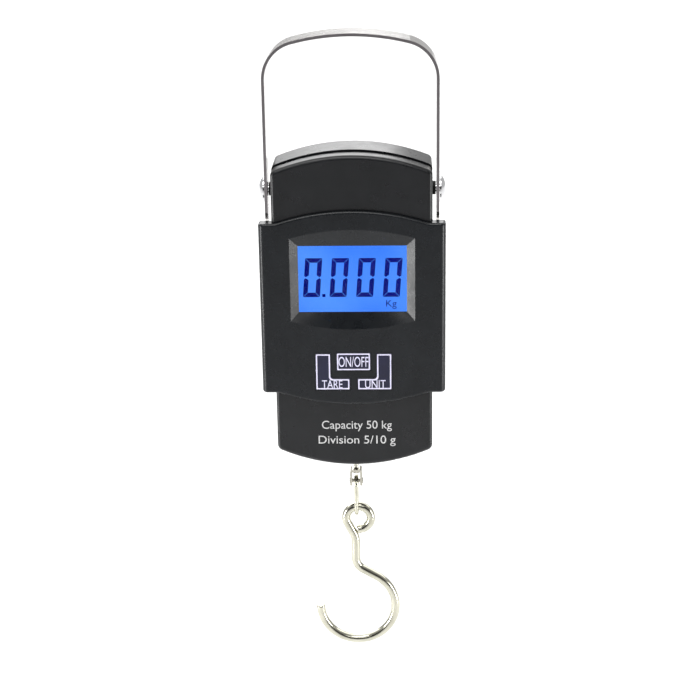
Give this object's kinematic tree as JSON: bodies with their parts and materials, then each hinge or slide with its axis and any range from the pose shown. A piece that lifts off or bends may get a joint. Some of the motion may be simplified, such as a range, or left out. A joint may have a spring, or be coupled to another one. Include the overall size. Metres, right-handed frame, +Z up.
{
  "type": "digital hanging scale",
  "caption": "Hand-held electronic hanging scale: folding strip bail, waisted casing with a lit display and keys, and a swivelling open hook.",
  "frame": {"origin": "inside top of the bail, on its middle, where a hand or a peg carries the scale", "axes": "+Z up along the hanging scale, -Y out of the display side, +Y out of the flat back, +X to the reader's right"},
  "size_m": [0.071, 0.0282, 0.2514],
  "materials": {
    "bail_chrome": "polished nickel-chrome plate",
    "screw_chrome": "polished plate",
    "black_nylon": "plain black nylon",
    "axle_steel": "turned bright steel",
    "shell_black": "fine satin moulded black",
    "panel_black": "fine satin moulded black",
    "clear_window": "clear polished acrylic",
    "display_glass": "blue-lit liquid crystal glass",
    "backlight": "blue-lit diffuser",
    "elastomer": "striped elastomer",
    "board_green": "solder mask",
    "small_screw_steel": "bright zinc",
    "chip_black": "moulded epoxy",
    "switch_body": "moulded black",
    "plunger_black": "moulded black",
    "key_navy": "satin dark navy",
    "cell_aluminium": "milled, clear anodised",
    "gauge_film": "amber film",
    "signal_wire": "white insulation",
    "supply_wire": "red insulation",
    "battery_wrap": "printed wrap",
    "contact_nickel": "nickel plate",
    "case_screw_steel": "black zinc",
    "shaft_steel": "bright nickel",
    "grommet_rubber": "plain black rubber",
    "clevis_nickel": "bright nickel plate",
    "hook_nickel": "bright nickel plate, slightly warm"
  },
  "bodies": {
    "handle": {"bail_handle": "bail_chrome"},
    "housing": {"front_shell": "shell_black", "front_panel": "panel_black", "rear_shell": "shell_black", "display_window": "clear_window", "display_glass": "display_glass", "backlight": "backlight", "display_connector": "elastomer", "circuit_board": "board_green", "board_screws": "small_screw_steel", "board_chips": "chip_black", "key_switches": "switch_body", "load_cell": "cell_aluminium", "strain_gauges": "gauge_film", "load_cell_wires": "signal_wire", "battery_wires": "supply_wire", "battery_cells": "battery_wrap", "battery_contacts": "contact_nickel", "battery_springs": "contact_nickel", "case_screws": "case_screw_steel", "pivot_screws": "screw_chrome", "pivot_spacers": "black_nylon", "cross_axle": "axle_steel", "hook_shaft": "shaft_steel", "shaft_nut": "small_screw_steel", "shaft_grommet": "grommet_rubber"},
    "on_off_key": {"on_off_button": "key_navy", "on_off_plunger": "plunger_black"},
    "tare_key": {"tare_button": "key_navy", "tare_plunger": "plunger_black"},
    "unit_key": {"unit_button": "key_navy", "unit_plunger": "plunger_black"},
    "door": {"battery_door": "shell_black"},
    "swivel": {"clevis": "clevis_nickel", "clevis_pin": "clevis_nickel"},
    "link": {"hook_link": "hook_nickel"},
    "load_hook": {"hook": "hook_nickel"}
  },
  "joints": [
    {"name": "bail_fold", "type": "hinge", "parent": "handle", "child": "housing", "pos_m": [0, 0, -0.058], "axis": [1, 0, 0], "range_deg": [-100, 100]},
    {"name": "on_off_press", "type": "slide", "parent": "housing", "child": "on_off_key", "axis": [0, 1, 0], "range_m": [0, 0.0008], "stiffness_N_per_m": 600},
    {"name": "tare_press", "type": "slide", "parent": "housing", "child": "tare_key", "axis": [0, 1, 0], "range_m": [0, 0.0008], "stiffness_N_per_m": 600},
    {"name": "unit_press", "type": "slide", "parent": "housing", "child": "unit_key", "axis": [0, 1, 0], "range_m": [0, 0.0008], "stiffness_N_per_m": 600},
    {"name": "door_hinge", "type": "hinge", "parent": "housing", "child": "door", "pos_m": [0, 0.0139, -0.1026], "axis": [1, 0, 0], "range_deg": [0, 75]},
    {"name": "hook_swivel", "type": "hinge", "parent": "housing", "child": "swivel", "pos_m": [0, 0, -0.175], "axis": [0, 0, 1], "continuous": true},
    {"name": "link_swing", "type": "hinge", "parent": "swivel", "child": "link", "pos_m": [0, 0, -0.1778], "axis": [1, 0, 0], "range_deg": [-55, 55]},
    {"name": "hook_swing", "type": "hinge", "parent": "link", "child": "load_hook", "pos_m": [0, 0, -0.1918], "axis": [0, 1, 0], "range_deg": [-80, 80]}
  ]
}
